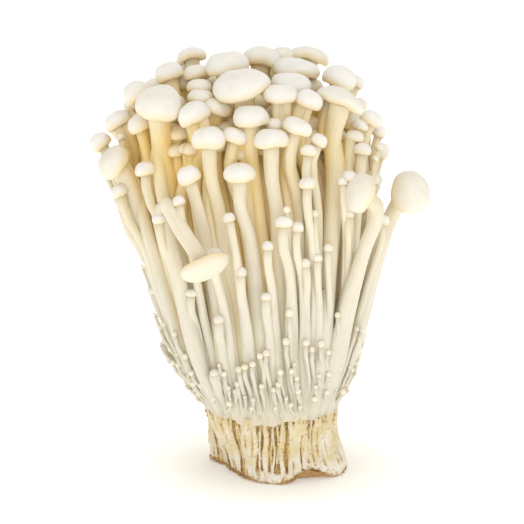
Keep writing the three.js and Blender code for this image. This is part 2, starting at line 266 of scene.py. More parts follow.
def reach_and_turn(points):
    """Distance and direction of each point from the middle line."""
    return np.hypot(points[:, 0], points[:, 1]), np.arctan2(points[:, 1], points[:, 0])


def round_middle(radius, turn, height):
    """The points at a distance and in a direction from the middle line, at a height."""
    return np.stack([radius * np.cos(turn), radius * np.sin(turn), height], axis=-1)


def turned_by(turn, x, y):
    """The two coordinates after a turn about the middle line."""
    return x * np.cos(turn) - y * np.sin(turn), x * np.sin(turn) + y * np.cos(turn)


def set_points(shape, points):
    shape.data.vertices.foreach_set("co", np.ascontiguousarray(points, dtype=np.float32).ravel())
    shape.data.update()


def join_all(name, shapes):
    """Joins the shapes into one piece of that name."""
    bpy.ops.object.select_all(action="DESELECT")
    for shape in shapes:
        shape.select_set(True)
    bpy.context.view_layer.objects.active = shapes[0]
    bpy.ops.object.join()
    piece = bpy.context.object
    piece.name = name
    piece.data.name = name
    return piece


def copy_of(shape, points):
    """A copy with its own mesh, its corners put at these points, given in millimetres."""
    copy = shape.copy()
    copy.data = shape.data.copy()
    bpy.context.collection.objects.link(copy)
    set_points(copy, points * MM)
    return copy


block_floor = CRUST_THICKNESS + GAP
block_heights = np.linspace(block_floor, NECK_HEIGHT - 0.6, BLOCK_RINGS)
block_rings = [
    (FLAT_SHARE, block_floor), *((BODY_SHARE, h) for h in block_heights), (0.9, NECK_HEIGHT),
]
block = turned_shape(BLOCK_SIDES, block_rings)
corners = points_of(block)
share, turn = reach_and_turn(corners)
radius = share * block_radius(turn, corners[:, 2])
set_points(block, round_middle(radius, turn, height_on_block(turn, corners[:, 2], share)) * MM)

# Each strand is copied from one, laid down the side with a slight wander, and left short at either end.
strand = turned_shape(STRAND_SIDES, [(1, h) for h in np.linspace(0, 1, STRAND_RINGS)])
draw = seeded_draws(5)
strands = []
across, depth, along = points_of(strand).T
for i in range(STRANDS):
    foot = block_floor + 0.4 + (9 * next(draw) if next(draw) > 0.8 else 0.5 * next(draw))
    top = NECK_HEIGHT + 0.9 - (5 * next(draw) if next(draw) > 0.88 else 0)
    thick = STRAND_LEAST + STRAND_MORE * next(draw) ** 2
    height = foot + (top - foot) * along
    wander = 0.016 * np.sin(TURN * (along * (0.6 + next(draw)) + next(draw)))
    taper = 1 - 0.45 * np.abs(2 * along - 1) ** 6
    turn = TURN * (i + 0.9 * (next(draw) - 0.5)) / STRANDS + wander
    radius = block_radius(turn, height) - STRAND_SUNK + 0.8 * next(draw) + thick * taper * depth
    x, y = turned_by(turn, radius, thick * taper * across)
    strands.append(copy_of(strand, np.stack([x, y, height_on_block(turn, height)], axis=1)))
bpy.data.objects.remove(strand)

# Fresh felt has crept over the foot's edge in a soft roll, thick in two places and thin elsewhere.
HEM_HEIGHT = 2.3
HEM_THIN = 0.3
HEM_TUBE = 0.1
HEM_SWELLS = [(262, 20, 0.95), (333, 17, 0.8), (120, 40, 0.5), (30, 30, 0.4)]
bpy.ops.mesh.primitive_torus_add(
    major_segments=200, minor_segments=10, major_radius=1, minor_radius=HEM_TUBE
)
hem = bpy.context.object
corners = points_of(hem)
reach, turn = reach_and_turn(corners)
outward, upward = (reach - 1) / HEM_TUBE, corners[:, 2] / HEM_TUBE
thick = HEM_THIN + 0.1 * np.sin(9 * turn) + 0.1 * np.sin(23 * turn + 1) + 0.06 * np.sin(47 * turn)
for direction, span, swell in HEM_SWELLS:
    off = (np.degrees(turn) - direction + 180) % 360 - 180
    thick += swell * np.exp(-((off / span) ** 2))
height = HEM_HEIGHT + 0.25 * np.sin(13 * turn) + edge_lift(turn) + (1.1 + 0.8 * thick) * upward
radius = block_radius(turn, 0) - 0.5 + thick * outward
set_points(hem, round_middle(radius, turn, height) * MM)

block = join_all("mycelium_block", [block, hem, *strands])
block.data.remesh_voxel_size = FUSED_AT * MM
bpy.ops.object.voxel_remesh()
block.modifiers.new("settled", "SMOOTH")
felt = bpy.data.textures.new("felt", "CLOUDS")
felt.noise_scale = 0.9 * MM
felt.noise_depth = 3
grit = block.modifiers.new("grit", "DISPLACE")
grit.texture = felt
grit.strength = 0.42 * MM
for modifier in ("settled", "grit"):
    bpy.ops.object.modifier_apply(modifier=modifier)
bpy.ops.object.shade_smooth()

# How far each corner stands out of the smooth side tells rib from groove, for the colours. Fresh felt is
# thickest near the foot, and thin and creamier under the lip.
corners = points_of(block) / MM
reach, turn = reach_and_turn(corners)
stands_out = reach - block_radius(turn, np.minimum(corners[:, 2], NECK_HEIGHT))
near_foot = 1 - smooth_step(corners[:, 2], 3, 11)
near_lip = smooth_step(corners[:, 2], 15, 21)
for name, values in (
    ("crest", np.clip(0.5 + stands_out / 2, 0, 1)), ("fresh", near_foot - 0.6 * near_lip),
):
    attribute = block.data.attributes.new(name, "FLOAT", "POINT")
    attribute.data.foreach_set("value", values.astype(np.float32))

# Mycelium felt: matt, with no gloss at all. White to cream on the ribs, ochre in the grooves, brown
# where sawdust and dried drops stick, and whiter low down where fresh felt has grown over it.
MYCELIUM_WHITE = "#F2EDE0"
MYCELIUM_CREAM = "#E4D3A6"
MYCELIUM_OCHRE = "#D2B06C"
MYCELIUM_BROWN = "#7A5223"
felt_material, tree, shader = new_material("mycelium felt")
place = add_node(tree, "TexCoord", "Object")
in_mm = add_node(tree, "Mapping", "Vector", {"Vector": place, "Scale": (1000, 1000, 1000)})
lengthwise = add_node(tree, "Mapping", "Vector", {"Vector": place, "Scale": (1000, 1000, 260)})
crest_value = add_node(tree, "Attribute", "Fac", attribute_name="crest")
blotch = add_node(tree, "TexNoise", "Fac", {"Vector": in_mm, "Scale": 0.22, "Detail": 4})
streak = add_node(tree, "TexNoise", "Fac", {"Vector": lengthwise, "Scale": 0.9, "Detail": 5})
speck = add_node(tree, "TexNoise", "Fac", {"Vector": in_mm, "Scale": 0.9, "Detail": 5})
uneven_crest = add_node(tree, "Math", 0, {0: crest_value, 1: streak}, operation="ADD")
on_rib = add_node(
    tree, "MapRange", "Result",
    {"Value": uneven_crest, "From Min": 0.98, "From Max": 1.34}, interpolation_type="SMOOTHSTEP",
)
fresh_value = add_node(tree, "Attribute", "Fac", attribute_name="fresh")
fresher = add_node(tree, "Math", 0, {0: fresh_value, 1: 0.24, 2: blotch}, operation="MULTIPLY_ADD")
blotch_share = add_node(
    tree, "MapRange", "Result", {"Value": fresher, "From Min": 0.42, "From Max": 0.76}
)
light_felt = add_node(
    tree, "Mix", 2, {0: blotch_share, 6: MYCELIUM_CREAM, 7: MYCELIUM_WHITE}, data_type="RGBA"
)
ribbed = add_node(tree, "Mix", 2, {0: on_rib, 6: MYCELIUM_OCHRE, 7: light_felt}, data_type="RGBA")
speck_share = add_node(
    tree, "MapRange", "Result", {"Value": speck, "From Min": 0.585, "From Max": 0.665}
)
off_rib = add_node(
    tree, "MapRange", "Result",
    {"Value": on_rib, "From Min": 0.1, "From Max": 0.9, "To Min": 0.95, "To Max": 0.42},
)
brown_share = add_node(tree, "Math", 0, {0: speck_share, 1: off_rib}, operation="MULTIPLY")
specked = add_node(tree, "Mix", 2, {0: brown_share, 6: ribbed, 7: MYCELIUM_BROWN}, data_type="RGBA")
relief = add_node(tree, "Bump", "Normal", {"Height": speck, "Strength": 0.35, "Distance": 0.25 * MM})
set_inputs(shader, {
    "Base Color": specked, "Roughness": 0.85, "Normal": relief, "Subsurface Weight": 0.15,
    "Subsurface Radius": (1, 0.6, 0.3), "Subsurface Scale": 1.2 * MM,
})
block.data.materials.append(felt_material)
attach(block, "root")
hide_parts("mycelium_base")

# Sawdust crust
# A thin layer of the brown sawdust that the bunch was grown in still sticks under the block. It is dry,
# bound by mycelium, and crumbles at its edge, where single grains cling to the block.
CRUST_SIDES = 220
CRUMBS = 900
CRUMB_LEAST = 0.16
CRUMB_MORE = 0.4
crust_rings = [
    (0.02, 0), (FLAT_SHARE, 0), (0.86, 0), (0.93, 0.05), (0.965, 0.3), (0.97, 0.8), (0.945, 1.15),
    (0.88, CRUST_THICKNESS), (FLAT_SHARE, CRUST_THICKNESS), (0.02, CRUST_THICKNESS),
]
crust = turned_shape(CRUST_SIDES, crust_rings)
corners = points_of(crust)
share, turn = reach_and_turn(corners)
ragged = 0.014 * np.sin(17 * turn) + 0.012 * np.sin(41 * turn + 1) + 0.012 * np.sin(67 * turn + 2)
radius = (share + ragged * (share > FLAT_SHARE)) * block_radius(turn, 0)
lift = edge_lift(turn) * smooth_step(share, FLAT_SHARE, 1)
set_points(crust, round_middle(radius, turn, corners[:, 2] + lift) * MM)

# One grain is copied over the rim and the lowest part of the block.
bpy.ops.mesh.primitive_ico_sphere_add(subdivisions=1, radius=1)
grain = bpy.context.object
grain_corners = points_of(grain)
draw = seeded_draws(23)
crumbs = []
for i in range(CRUMBS):
    turn = TURN * next(draw)
    size = CRUMB_LEAST + CRUMB_MORE * next(draw) ** 2.4
    height = 0.1 + size + 2.6 * next(draw) ** 2.2
    radius = block_radius(turn, height) + 0.25 * (next(draw) - 0.35)
    stretch = np.array([0.6 + 0.8 * next(draw), 0.6 + 0.8 * next(draw), 0.5 + 0.5 * next(draw)])
    spin = TURN * next(draw)
    x, y, z = (grain_corners * stretch * size).T
    middle = round_middle(radius, turn, height + edge_lift(turn))
    crumbs.append(copy_of(grain, middle + np.stack([*turned_by(spin, x, y), z], axis=1)))

# Some finer grains cling in bunches under the lip of the neck, and among the pins of the right side.
LIP_FLECKS = 300
LIP_BUNCHES = 9
BUNCHING = 0.15
SIDE_FLECKS = 190
FLECK_LEAST = 0.15
FLECK_MORE = 0.33


def out_to(reach, turn):
    """The place across and in depth at a reach from the middle, in a direction."""
    return reach * math.cos(turn), reach * math.sin(turn)


for i in range(LIP_FLECKS + SIDE_FLECKS):
    size = FLECK_LEAST + FLECK_MORE * next(draw) ** 2
    if i < LIP_FLECKS:
        turn = TURN * next(draw)
        turn += BUNCHING * math.sin(LIP_BUNCHES * turn)
        height = rim_height(turn) - 1.2 - 6 * next(draw) ** 2
        radius = block_radius(turn, min(height, NECK_HEIGHT)) + 0.5 + 0.5 * next(draw)
        middle = round_middle(radius, turn, height)
    else:
        turn = math.radians(-58 + 70 * next(draw))
        reach = 0.94 + 0.06 * next(draw)
        height = 30 + 44 * next(draw) ** 1.2
        middle = spread_point(*out_to(reach, turn), height)
    crumbs.append(copy_of(grain, middle + grain_corners * size * (0.6 + 0.7 * next(draw))))
bpy.data.objects.remove(grain)
crust = join_all("sawdust_crust", [crust, *crumbs])

# Sawdust: dull and dry, mid brown with darker and paler grains.
SAWDUST_DARK = "#7A5228"
SAWDUST_MID = "#B98546"
SAWDUST_PALE = "#E6CC98"
sawdust, tree, shader = new_material("mycelium-bound sawdust")
place = add_node(tree, "TexCoord", "Object")
in_mm = add_node(tree, "Mapping", "Vector", {"Vector": place, "Scale": (1000, 1000, 1000)})
grain_tone = add_node(tree, "TexVoronoi", "Color", {"Vector": in_mm, "Scale": 1.1})
patch = add_node(tree, "TexNoise", "Fac", {"Vector": in_mm, "Scale": 0.35, "Detail": 4})
brown = add_node(tree, "Mix", 2, {0: patch, 6: SAWDUST_DARK, 7: SAWDUST_PALE}, data_type="RGBA")
grain_share = add_node(tree, "MapRange", "Result", {"Value": grain_tone, "To Min": 0.2, "To Max": 0.9})
grained = add_node(tree, "Mix", 2, {0: grain_share, 6: brown, 7: SAWDUST_MID}, data_type="RGBA")
set_inputs(shader, {"Base Color": grained, "Roughness": 0.95})
crust.data.materials.append(sawdust)
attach(crust, "root")
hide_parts("substrate_crust")

# Places of the mushrooms
# Those that show from the front are listed one by one, the rest of the crown, sides and back follow a
# rule, as in the solid. Each row is the middle of a cap, its width, its height as a share of the width,
# its lean to the right and to the front in degrees, and how far to the right its stem comes up.
CROWN = [
    (-36.5, 0, 137, 9.5, 0.8, -20, -5), (-29.5, 15, 141, 11, 0.5, -15, -10),
    (-47.5, -3, 131, 9.5, 0.8, -35, 5), (-39, -22, 130, 16, 0.65, -5, 25),
    (-26, -12, 134, 8.5, 0.6, 0, 5), (-27, 0, 137, 9, 0.65, -5, 0),
    (-17, -5, 140.5, 15, 0.6, -5, 5), (-12, -22, 136, 18.5, 0.5, -9, 20),
    (-5.5, 10, 141, 13.5, 0.6, 5, 0), (-25.5, -18, 131.5, 8.5, 0.55, 0, 10),
    (-27.5, -26, 127, 11, 0.7, -22, 15), (-19.5, -22, 128.5, 9.5, 0.6, 15, 15),
    (-9, -30, 126.5, 12.2, 0.62, 0, 10), (-22.5, -34, 120, 10.5, 0.78, -5, 10),
    (-14, -32, 120.5, 8.2, 0.7, 15, 8), (-2.5, -35, 120, 11.2, 0.62, 0, 8),
    (-1.5, -28, 123.5, 6, 0.75, 10, 5), (1.5, 15, 141.5, 8, 0.7, 0, 0),
    (10.5, 20, 140.5, 14, 0.45, 6, -5), (6, 5, 138, 17, 0.42, 8, 8),
    (20.5, 0, 135.5, 11.5, 0.75, 20, 5), (27, 10, 132.5, 5, 0.9, 30, 0),
    (20.5, -16, 130.5, 16.5, 0.38, 24, 10), (4, -12, 135, 14, 0.5, 6, 10),
    (0.5, -24, 133, 11.2, 0.58, 0, 12), (10, -23, 131, 9.5, 0.7, 25, 10),
    (6, -32, 123.5, 9.5, 0.62, 22, 8), (13, -32, 119, 5.5, 0.8, 30, 5),
    (9.5, -34, 116, 5.5, 0.75, 10, 5), (25, -16, 118, 6.2, 0.65, 12, 5),
    (27.5, -18, 114, 6.2, 0.7, 8, 5), (31, -6, 122.5, 8, 0.7, 25, 5),
    (27, -8, 120.5, 6, 0.65, 15, 5), (34, 0, 117, 4.5, 1, 25, 0), (-54, 0, 121, 9.2, 0.7, -35, 0),
    (-46, -12, 121.5, 8.2, 0.8, -25, 8), (-60, 2, 113.5, 7.8, 0.85, -42, 0),
    (-54.5, -12, 109, 13, 0.7, -50, 15), (-32.5, -18, 119.5, 7.5, 0.62, 0, 20),
]
FLANK = [
    (9, -36, 106.5, 5.6, 0.7, 0, 8), (22.5, -26, 107.5, 5.2, 0.7, 0, 8),
    (20.5, -28, 106, 3.4, 0.9, -5, 5), (25.5, -34, 102.5, 12.5, 0.7, -68, 60, 8),
    (44.5, -10, 98.5, 14, 0.85, 60, 75, -9), (35, -14, 89.5, 3.8, 0.95, 12, 5),
    (22.5, -31, 95, 4, 0.7, 0, 5), (-52.5, -5, 116, 3, 0.9, -20, 0),
    (-43.5, -24, 108.5, 6.8, 0.72, -12, 10), (-52.5, -14, 99.5, 5.8, 0.8, -28, 5),
    (-29, -34, 108, 8, 0.85, -25, 10), (-12.5, -38, 109.5, 10.2, 0.66, 0, 10),
    (-32, -30, 100.5, 4.2, 0.8, -15, 5), (-16, -35, 95.5, 4, 0.85, -18, 5),
    (1.5, -38, 94, 5.9, 0.65, 0, 8), (6, -37, 92, 4, 0.9, 5, 8),
    (-20.5, -33, 83.5, 4.8, 0.65, 0, 8), (-12, -35, 77, 3.4, 1, 0, 8),
    (-3.5, -37, 86, 4, 0.8, 0, 8), (-4, -34, 68.5, 3.7, 0.75, 0, 8),
    (-19.5, -29, 60, 3.4, 0.95, 0, 8), (-21, -22, 40.5, 3.4, 0.8, 0, 12),
    (-45.5, -6, 77, 2.8, 1.2, -30, 0), (-28.5, -30, 68.5, 4.2, 0.6, 0, 5),
    (12.5, -34, 81, 3.4, 0.85, 0, 8), (8.5, -35, 79.5, 3.5, 0.9, -12, 8),
    (16, -32, 84, 3.1, 0.9, 0, 8), (23.5, -24, 81.5, 3.5, 0.8, 0, 5), (27, -21, 80, 3.8, 0.8, 5, 5),
]
PINS = [
    (11.5, -34, 96, 2.4, 1.1, 0, 5), (-28.5, -22, 51, 2.2, 1.1, -8, 5),
    (3.5, -32, 62.5, 2.8, 1.15, -5, 8), (2.5, -30, 52.5, 2.5, 1.2, 0, 8),
    (-4, -29, 48.5, 2.5, 1, 5, 8), (-8.5, -28, 44.5, 2.3, 1, 5, 8),
    (-11, -28, 43.5, 2.5, 0.8, 0, 8), (-13, -27, 42.5, 2.3, 1, -10, 8), (0, -27, 37, 2.1, 1, 0, 10),
    (6, -26, 39, 2, 1, 0, 10), (-40.5, -3, 55, 1.8, 1, -60, 0), (-36.5, 0, 40, 2.2, 1, -50, 0),
    (25, -20, 71, 2.2, 1, 0, 5), (9, -28, 51.5, 2.4, 1, 0, 8), (14, -26, 50.5, 2.4, 1.1, 0, 8),
    (19.5, -22, 60, 2.1, 1.1, -5, 5), (21, -20, 52, 2.2, 1.1, -5, 5),
    (27.5, -8, 48.5, 1.9, 1, 20, 0), (27.5, -5, 41, 1.9, 1, 35, 0), (32, -5, 65, 2, 1, 50, 0),
]
# Small ones left out of the solid, listed one by one too.
FINE_PINS = [
    (-38.5, -34, 94, 4.8, 0.75, -8, 5), (-13.5, -26, 37, 2, 1.1, 0, 8),
    (6.5, -25, 34, 2.1, 1, 0, 12), (2.5, -33, 98, 2.5, 1, 0, 5), (11, -27, 49, 2.1, 1, 0, 8),
    (-6, -29, 47.5, 2.3, 1, -25, 8), (20, -20, 45, 1.9, 1.2, 0, 5), (-5.5, -27, 36.5, 1.9, 1, 0, 8),
    (-1.5, -26, 35, 2, 1, 0, 8), (-34.5, -3, 36.5, 2, 1, -45, 0), (23, -17, 63, 2, 1, 5, 5),
    (29, -5, 45.5, 1.4, 1, 30, 0), (26.5, -8, 35.5, 1.4, 1, 60, 0), (24, -10, 30, 1.4, 1, 75, 0),
    (12.5, -22, 35, 1.7, 1, 0, 10), (13.5, -23, 39, 1.7, 1, 0, 10),
    (18.5, -17, 33.5, 1.7, 1, 10, 10), (32.5, -5, 73, 1.8, 1, 45, 0),
]
# Caps behind the front of the crown, seen in the gaps of it.
BEHIND_CROWN = [
    (-34, 18, 136.5, 9, 0.6, -12, -12), (-20, 20, 137.5, 9, 0.6, 0, -12),
    (-23, 8, 133, 8.5, 0.6, 0, -5), (-1, 25, 138, 10, 0.6, 0, -12), (11, 8, 132, 9, 0.55, 5, 0),
    (24, 16, 133, 9, 0.6, 15, -10), (-42, 10, 131.5, 9, 0.6, -20, -8),
]
GROWTH_SEED = 11
CROWN_HEIGHT = 139
CROWN_DROP = 27
CROWN_PLACES = 54
BACK_PLACES = 25
BACK_PINS = 10
GOLDEN_ANGLE = TURN * 0.381966
GOLDEN_SHARE = 0.618034
ROOT_TWO_SHARE = 0.414214
CROWDING = 0.43
FRONT_LIMIT = -0.5
LEAN_OUT = 24
FACE_UP = 10
SMALL_UNDER = 6.5
CLEAR_REACH = 1.1
CLEAR_WITHIN = 0.75
FOOT_OUTWARD = 1.3


def mushroom(x, y, z, width, squat, right=None, front=None, beside=0):
    """What a row says, and the place in the spread that its stem follows. With no lean, it leans out."""
    middle, half_width, half_depth = spread_at(z)
    u = (x + beside - middle) / half_width
    v = y / half_depth
    side = math.tan(math.radians(LEAN_OUT * u if right is None else right))
    forward = -math.tan(math.radians(-LEAN_OUT * v if front is None else front))
    axis = np.array([side, forward, 1])
    return {
        "middle": np.array([x, y, z], float), "width": width, "squat": squat,
        "axis": axis / np.linalg.norm(axis), "u": u, "v": v,
    }


def stood_clear(new):
    """A small mushroom of the front moved forward to stand clear of the broad stems, nearly upright."""
    if new["width"] < SMALL_UNDER and new["v"] < 0 and abs(new["u"]) < CLEAR_WITHIN:
        new["v"] = min(new["v"], -math.sqrt(CLEAR_REACH**2 - new["u"] ** 2))
        new["middle"] = spread_point(new["u"], new["v"], new["middle"][2])
        foot_u = max(-0.9, min(0.9, FOOT_OUTWARD * new["u"]))
        new["foot"] = np.array([foot_u, -0.97 * math.sqrt(1 - foot_u**2)])
    return new


def put_where_room(grown, new, crowding=CROWDING):
    """Adds a mushroom, unless its cap comes too near to another."""
    if all(
        math.dist(other["middle"], new["middle"]) > crowding * (other["width"] + new["width"])
        for other in grown
    ):
        grown.append(new)


grown = [mushroom(*row[:6], row[6] - FACE_UP, *row[7:]) for row in CROWN]
grown += [stood_clear(mushroom(*row[:6], row[6] - FACE_UP, *row[7:])) for row in [*FLANK, *PINS]]
draw = seeded_draws(GROWTH_SEED)
for i in range(CROWN_PLACES):
    reach = math.sqrt((i + 0.5) / CROWN_PLACES)
    u, v = out_to(reach, i * GOLDEN_ANGLE)
    height = CROWN_HEIGHT - CROWN_DROP * reach**2.4 + 5 * (next(draw) - 0.5)
    width = 8.5 + 6.5 * next(draw)
    squat = 0.5 + 0.2 * next(draw)
    if v > FRONT_LIMIT:
        put_where_room(grown, mushroom(*spread_point(u, v, height), width, squat))
for i in range(BACK_PLACES):
    direction = math.radians(-12 + 204 * ((i * GOLDEN_SHARE) % 1))
    down = i / BACK_PLACES
    height = 112 - 60 * down + 6 * (next(draw) - 0.5)
    width = (3 + 5 * ((i * ROOT_TWO_SHARE) % 1)) * (1 - 0.38 * down)
    squat = 0.62 + 0.3 * next(draw)
    put_where_room(grown, mushroom(*spread_point(*out_to(1, direction), height), width, squat))
for i in range(BACK_PINS):
    direction = math.radians(-15 + 210 * ((i * GOLDEN_SHARE) % 1))
    height = 33 + 22 * next(draw)
    width = 1.9 + 0.8 * next(draw)
    put_where_room(grown, mushroom(*spread_point(*out_to(1.02, direction), height), width, 1.05))

# What the solid has no room for: smaller caps between and under those of the crown, more along the
# sides and the back, and the pins that crowd round the neck.
MORE_CROWN = 150
MORE_FLANK = 130
MORE_PINS = 210
MORE_INSIDE = 110
SECOND_LAYER = 60
grown += [stood_clear(mushroom(*row)) for row in FINE_PINS]
grown += [mushroom(*row) for row in BEHIND_CROWN]
draw = seeded_draws(71)
for i in range(MORE_CROWN):
    reach = 0.97 * math.sqrt((i + 0.5) / MORE_CROWN)
    u, v = out_to(reach, i * GOLDEN_ANGLE + 1)
    drop = (5 + 7 * next(draw), CROWN_DROP) if v < 0 else (2 + 4 * next(draw), CROWN_DROP / 2)
    height = CROWN_HEIGHT - drop[0] - drop[1] * reach**2.4
    width = 5 + 5.5 * next(draw)
    squat = 0.55 + 0.3 * next(draw)
    if v > -0.15 or reach < 0.6:
        put_where_room(grown, mushroom(*spread_point(u, v, height), width, squat), 0.46)
for i in range(MORE_FLANK):
    direction = math.radians(-18 + 216 * ((i * GOLDEN_SHARE) % 1))
    height = 112 - 74 * (i / MORE_FLANK) ** 0.8 + 8 * (next(draw) - 0.5)
    width = (2.4 + 4.6 * next(draw) ** 1.4) * (0.5 + height / 220)
    squat = 0.65 + 0.35 * next(draw)
    reach = 0.96 + 0.07 * next(draw)
    place = spread_point(*out_to(reach, direction), height)
    put_where_room(grown, mushroom(*place, width, squat), 0.5)
for i in range(MORE_PINS):
    direction = TURN * ((i * GOLDEN_SHARE) % 1)
    if math.sin(direction) < -0.5 and i % 5 > 2:
        continue
    sideways = abs(math.cos(direction))
    height = 27.5 + (13 + 17 * sideways) * next(draw) ** 1.3
    width = 1.25 + 0.9 * next(draw)
    reach = 1.05 + 0.07 * next(draw) - 0.03 * sideways
    place = spread_point(*out_to(reach, direction), height)
    new = mushroom(*place, width, 0.95 + 0.25 * next(draw))
    put_where_room(grown, stood_clear(new), 0.6)

# Deep inside, under the crown, more stems than caps can be told apart. Their caps sit low and small.
for i in range(MORE_INSIDE):
    turn = i * GOLDEN_ANGLE
    reach = 0.45 + (0.45 if math.sin(turn) > 0 else 0.25) * next(draw)
    height = CROWN_HEIGHT - CROWN_DROP * reach**2.4 - 10 - 6 * next(draw)
    width = 5 + 2.3 * next(draw)
    foot = (0.8 + 0.06 * next(draw)) * np.array(out_to(1, turn))
    place = spread_point(*out_to(reach, turn), height)
    grown.append(mushroom(*place, width, 0.6) | {"foot": foot, "pull": 1.6})

# A second layer of stems stands close behind the outer ones. Each leans in and has grown into a cap of
# the crown from below, beside that cap's own stem.
HOST_WIDTH = 6.5
HOST_HEIGHT = 114
hosts = [m for m in grown if m["width"] > HOST_WIDTH and m["middle"][2] > HOST_HEIGHT]
guests = [0] * len(hosts)
for i in range(SECOND_LAYER):
    turn = TURN * (i + 0.5 * next(draw)) / SECOND_LAYER
    direction = np.array(out_to(1, turn))
    wanted = spread_point(*(0.7 * direction), 126)
    away = [math.dist(m["middle"], wanted) + 8 * taken for m, taken in zip(hosts, guests)]
    nearest = away.index(min(away))
    guests[nearest] += 1
    host = hosts[nearest]
    aside = (wanted - host["middle"]) * [1, 1, 0]
    aside *= 0.2 * host["width"] / (np.linalg.norm(aside) + 1)
    grown.append(host | {
        "middle": host["middle"] + aside, "foot": (0.87 + 0.05 * next(draw)) * direction, "pull": 2,
        "thickness": 3.2 + 1.4 * next(draw), "joins": True,
    })

# Some stems of the front do the same. Each row is a place on the cap that the stem joins, with that
# cap's size and lean, then where the foot is across and in depth, and how thick the stem is.
JOINED_IN_FRONT = [
    ((20.5, -20, 130, 16.5, 0.38, 24, 10), (0.58, -0.79), 6.2),
    ((24, -17, 118, 6.2, 0.65, 12, 5), (0.74, -0.62), 3.2),
    ((9.5, -23.5, 131, 9.5, 0.7, 25, 10), (0.46, -0.84), 3.2),
    ((-40, -23, 130, 16, 0.65, -5, 25), (-0.62, -0.74), 4.6),
    ((-53, -12, 109, 13, 0.7, -50, 15), (-0.83, -0.5), 4.2),
    ((2, -25, 133, 11.2, 0.58, 0, 12), (0.3, -0.9), 3.8),
    ((-25, -28, 127, 11, 0.7, -22, 15), (-0.3, -0.9), 3.6),
]
for row, foot, thickness in JOINED_IN_FRONT:
    grown.append(mushroom(*row) | {
        "foot": np.array(foot), "pull": 2, "thickness": thickness, "joins": True,
    })

# Wide caps low down at the sides are painted greyer: painted shade, as the lamps fall full on them.
PAINTED_SHADE_WIDTH = 12
PAINTED_SHADE_UNDER = 112
PAINTED_SHADE_TONE = 1.5
for m in grown:
    if m["width"] > PAINTED_SHADE_WIDTH and m["middle"][2] < PAINTED_SHADE_UNDER:
        m["tone"] = PAINTED_SHADE_TONE

# Caps and stems
# A cap is a smooth convex skin with its margin rolled in over fine gills, and a stem is one long firm
# tube of fibres, broadest just above the neck. Three finenesses of each are made once, by extruding a
# disc ring by ring, and copied to every place: tall and wide ones, short ones, and pins.
BIG, SMALL, PIN = "big", "small", "pin"
BIG_FROM = 7.5
SMALL_FROM = 2.9
CAP_RINGS = [
    (0.28, 0.3), (0.42, 0.27), (0.56, 0.18), (0.7, 0.06), (0.82, 0), (0.92, 0.05), (0.985, 0.18),
    (1, 0.33), (0.975, 0.48), (0.915, 0.62), (0.82, 0.75), (0.69, 0.86), (0.53, 0.935), (0.35, 0.98),
    (0.18, 0.997), (0.06, 1),
]
PIN_RINGS = [(0.5, 0.02), (0.8, 0.1), (0.99, 0.36), (0.95, 0.62), (0.74, 0.86), (0.4, 0.98), (0.08, 1)]
CAP_FULLNESS = {BIG: 0.82, SMALL: 0.88, PIN: 0.85}
CAP_FINENESS = {BIG: (34, CAP_RINGS), SMALL: (18, CAP_RINGS[::2]), PIN: (9, PIN_RINGS)}
STEM_FINENESS = {BIG: (13, 24), SMALL: (10, 16), PIN: (7, 8)}
GILL_DEPTH = 0.05
CAP_SEAT = 0.45
# A stem is this thick, and thicker by this share of its cap's width.
STEM_THICKNESS = {BIG: (1.2, 0.31), SMALL: (1.2, 0.31), PIN: (0.75, 0.3)}
ROOT_SHARE = {BIG: 0.95, SMALL: 0.96, PIN: 0.98}
BROAD = {BIG: 1.1, SMALL: 0.65, PIN: 0.1}
BROAD_INSIDE = 0.25
WANDER = {BIG: 0.35, SMALL: 0.3, PIN: 0.2}
NECK_ROOT = 22.6
LINE_STEPS = 90
BROADEST_AT = 44
SQUARENESS = 0.45
STRAIGHTNESS = 0.4
FEET_OUTWARD = 1.2
BROAD_OVER = 24
WIDE_FROM = 12
FLARE = 0.08
WIDE_FLARE = 0.22
GRAIN_SHIFT = 400
FOOT_TO_TOP = (22, 140)


def with_growth_marks(shape):
    """Adds what the materials read: the unbent place in millimetres, and marks, which are how far up a
    stem or under a cap a point is, the latter for painted shade, how deep in the bunch, for painted
    amber glow, and the tone of its mushroom."""
    shape.data.attributes.new("unbent", "FLOAT_VECTOR", "POINT")
    shape.data.attributes.new("marks", "FLOAT_COLOR", "POINT")
    return shape


cap_shapes, stem_shapes = {}, {}
for fineness in (BIG, SMALL, PIN):
    sides, rings = CAP_FINENESS[fineness]
    cap = turned_shape(sides, rings)
    if fineness == BIG:
        # Every other spoke of the underside is drawn down into the edge of a gill.
        corners = points_of(cap)
        reach, turn = reach_and_turn(corners)
        spoke = np.round(turn / TURN * sides) % 2
        gill = np.isin(np.round(reach, 2), [0.42, 0.56, 0.7])
        corners[:, 2] -= GILL_DEPTH * spoke * gill
        set_points(cap, corners)
    cap_shapes[fineness] = with_growth_marks(cap)
    sides, rings = STEM_FINENESS[fineness]
    stem_shapes[fineness] = with_growth_marks(
        turned_shape(sides, [(1, h) for h in np.linspace(0, 1, rings + 1)])
    )


